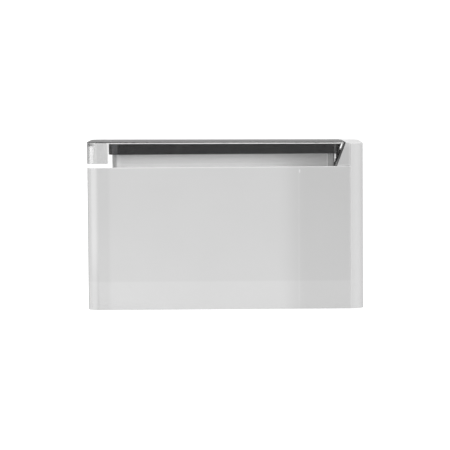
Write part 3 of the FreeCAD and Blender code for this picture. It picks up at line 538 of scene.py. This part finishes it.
# Painted shade: the clear tint is darkened at the left rear turn, at the left front turn and along the upper
# edge there.
rear_turn_shade = product(tree, ramp(tree, x, (rear_turn_x - 0.001, rear_turn_x + 0.001), 1.0, 0.0),
                    ramp(tree, y, (0.0, 0.03), 0.0, 1.0))
front_turn_shade = product(tree, ramp(tree, x, (lid_low.x + 0.0034, lid_low.x + 0.0050), 1.0, 0.0),
                     ramp(tree, y, (front_y + 0.018, front_y + 0.024), 1.0, 0.0))
upper_edge_shade = product(tree, ramp(tree, x, (lid_low.x + 0.007, lid_low.x + 0.012), 1.0, 0.0),
                     ramp(tree, y, (front_y + 0.016, front_y + 0.03), 1.0, 0.0),
                     ramp(tree, z, (lid_high.z - 0.0066, lid_high.z - 0.0052), 0.0, 1.0))
clearness_and_shade = maths(tree, "MULTIPLY_ADD", rear_turn_shade, -0.45, 0.985)
clearness_and_shade = maths(tree, "MULTIPLY_ADD", front_turn_shade, -0.54, clearness_and_shade)
clearness_and_shade = maths(tree, "MAXIMUM", maths(tree, "MULTIPLY_ADD", upper_edge_shade, -0.6, clearness_and_shade), 0.25)
tree.links.new(grey(tree, clearness_and_shade), shader.inputs["Base Color"])
hairs = add(tree, "ShaderNodeMapping", Scale=(9.0, 160.0, 160.0), Rotation=(0.0, 0.3, 0.25))
tree.links.new(whereabouts(tree), hairs.inputs["Vector"])
scratches = add(tree, "ShaderNodeTexNoise", Scale=3.0, Detail=5.0, Roughness=0.7)
tree.links.new(hairs.outputs[0], scratches.inputs["Vector"])
tree.links.new(ramp(tree, scratches.outputs["Fac"], (0.60, 0.75), 0.012, 0.07), shader.inputs["Roughness"])
carrier_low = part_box("blade_carrier")[0]
clip_front_y, clip_rear_y = front_y + 0.0028, front_y + 0.0118
# Painted glint: the lid glows at its right front clip, mostly below the blade carrier.
painted_clip_glint = product(tree, near(tree, x, clip_x - 0.0002, 0.0015, 0.52, 0.0),
                    ramp(tree, y, (clip_front_y, clip_front_y + 0.0006), 0.0, 1.0),
                    ramp(tree, y, (clip_rear_y - 0.0006, clip_rear_y), 1.0, 0.0),
                    ramp(tree, z, (carrier_low.z - 0.001, carrier_low.z), 1.0, 0.08))
tree.links.new(grey(tree, painted_clip_glint), shader.inputs["Emission Color"])
smooth_copy("lid", clear_plastic)


# ---------------------------------------------------------------- blade carrier, blade and screws
# A dark grey moulding screwed up under the lid. Along the inside of its front skirt seven small screws
# hold the toothed steel strip that cuts the film.

smooth_copy("blade_carrier", dark_plastic)
smooth_copy("carrier_screws", steel)
smooth_copy("cutter_blade", steel)
smooth_copy("blade_screws", steel)


# ---------------------------------------------------------------- end seal
# A dark rubber strip bonded along the lid's slanted end, from its top edge down to the slot. Its tone is
# painted lighter towards the slot, as painted light.

seal_rubber, shader = new_material("seal_rubber", IOR=1.5)
tree = seal_rubber.node_tree
x, y, z = place(tree)
seal_low, seal_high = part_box("end_seal")
# Painted light: the seal's tone is lighter towards the slot.
painted_light_towards_slot = ramp(tree, z, (seal_low.z, seal_high.z - 0.016), 2.4, 1.0)
finish_with(seal_rubber, shader, (0.06, 0.06, 0.06), 0.45, grain=1800.0, wear=0.5, shade=painted_light_towards_slot)
smooth_copy("end_seal", seal_rubber)


# ---------------------------------------------------------------- floor and light
# A plain white table with no edge in sight, in a white room, with a soft key light high at the left. Strip
# lights stand at both sides in front and one hangs overhead. In reflections, and in front of the clear lid,
# table and walls are dimmer than they look directly, so that clear and glossy edges get their dark lines.

floor_data = bpy.data.meshes.new("floor")
mesh = bmesh.new()
bmesh.ops.create_grid(mesh, x_segments=1, y_segments=1, size=12.0)
mesh.to_mesh(floor_data)
mesh.free()
floor = in_scene("floor", floor_data)
floor_paint, shader = new_material("floor_paint", Base_Color=(0.30, 0.30, 0.30, 1.0), Roughness=0.6,
                                   Specular_IOR_Level=0.0, Emission_Strength=0.92)
tree = floor_paint.node_tree
paths = tree.nodes.new("ShaderNodeLightPath")
x, y, z = place(tree)
in_front = ramp(tree, y, (front_y - 0.9, front_y - 0.5), -0.64, 0.0)
brightness = maths(tree, "MULTIPLY_ADD", paths.outputs["Is Diffuse Ray"], -0.12, 1.0)
brightness = maths(tree, "MULTIPLY_ADD", paths.outputs["Is Transmission Ray"], in_front, brightness)
tree.links.new(grey(tree, brightness), shader.inputs["Emission Color"])
floor_data.materials.append(floor_paint)
floor.visible_glossy = False

world = bpy.data.worlds.new("studio")
bpy.context.scene.world = world
world.use_nodes = True
tree = world.node_tree
background = tree.nodes["Background"]
background.inputs["Color"].default_value = (1.0, 1.0, 1.0, 1.0)
split = tree.nodes.new("ShaderNodeSeparateXYZ")
tree.links.new(tree.nodes.new("ShaderNodeTexCoord").outputs["Generated"], split.inputs[0])
sideways = maths(tree, "ABSOLUTE", split.outputs["X"])
overhead = ramp(tree, split.outputs["Z"], (0.12, 0.45), 0.0, 1.0)
before = ramp(tree, split.outputs["Y"], (-0.15, 0.15), 1.0, 0.0)
strips = product(tree, ramp(tree, sideways, (0.40, 0.72), 0.0, 1.7), before)
wall = maths(tree, "MULTIPLY_ADD", before, -0.27, 0.33)
reflected = maths(tree, "MAXIMUM", maths(tree, "MAXIMUM", overhead, strips), wall)
straight_on = ramp(tree, maths(tree, "ABSOLUTE", split.outputs["Y"]), (0.80, 0.95), 0.12, 1.2)
straight_on = product(tree, straight_on, ramp(tree, split.outputs["Y"], (-0.15, 0.15), 0.42, 1.0))
paths = tree.nodes.new("ShaderNodeLightPath")
level = 1.2
for path, seen in (("Is Diffuse Ray", 1.06), ("Is Transmission Ray", straight_on),
                   ("Is Glossy Ray", reflected)):
    choice = tree.nodes.new("ShaderNodeMix")
    tree.links.new(paths.outputs[path], choice.inputs["Factor"])
    for socket, value in (("A", level), ("B", seen)):
        if isinstance(value, float):
            choice.inputs[socket].default_value = value
        else:
            tree.links.new(value, choice.inputs[socket])
    level = choice.outputs["Result"]
tree.links.new(level, background.inputs["Strength"])
world.cycles.sampling_method = "NONE"

key_data = bpy.data.lights.new("key", "AREA")
key_data.size = 1.2
key_data.energy = 9.0
key = in_scene("key", key_data)
key.location = (-1.0, -1.5, 1.9)
key.rotation_euler = (Vector((0.0, 0.0, 0.12)) - key.location).to_track_quat("-Z", "Y").to_euler()
key.visible_glossy = False


# ---------------------------------------------------------------- camera
# Level with the front, a little above the lid, from well back, so that only a sliver of the top shows.

camera_data = bpy.data.cameras.new("camera")
camera_data.sensor_width = 36.0
camera_data.lens = 192.0
camera = in_scene("camera", camera_data)
camera.location = (-0.0006, front_y - 3.254, 0.352)
tilt_down, roll = math.radians(4.152), math.radians(0.4)
camera.rotation_euler = (Matrix.Rotation(math.radians(90) - tilt_down, 3, "X")
                         @ Matrix.Rotation(-roll, 3, "Z")).to_euler()
bpy.context.scene.camera = camera
bpy.context.scene.view_settings.view_transform = "Standard"
bpy.context.scene.cycles.use_denoising = True
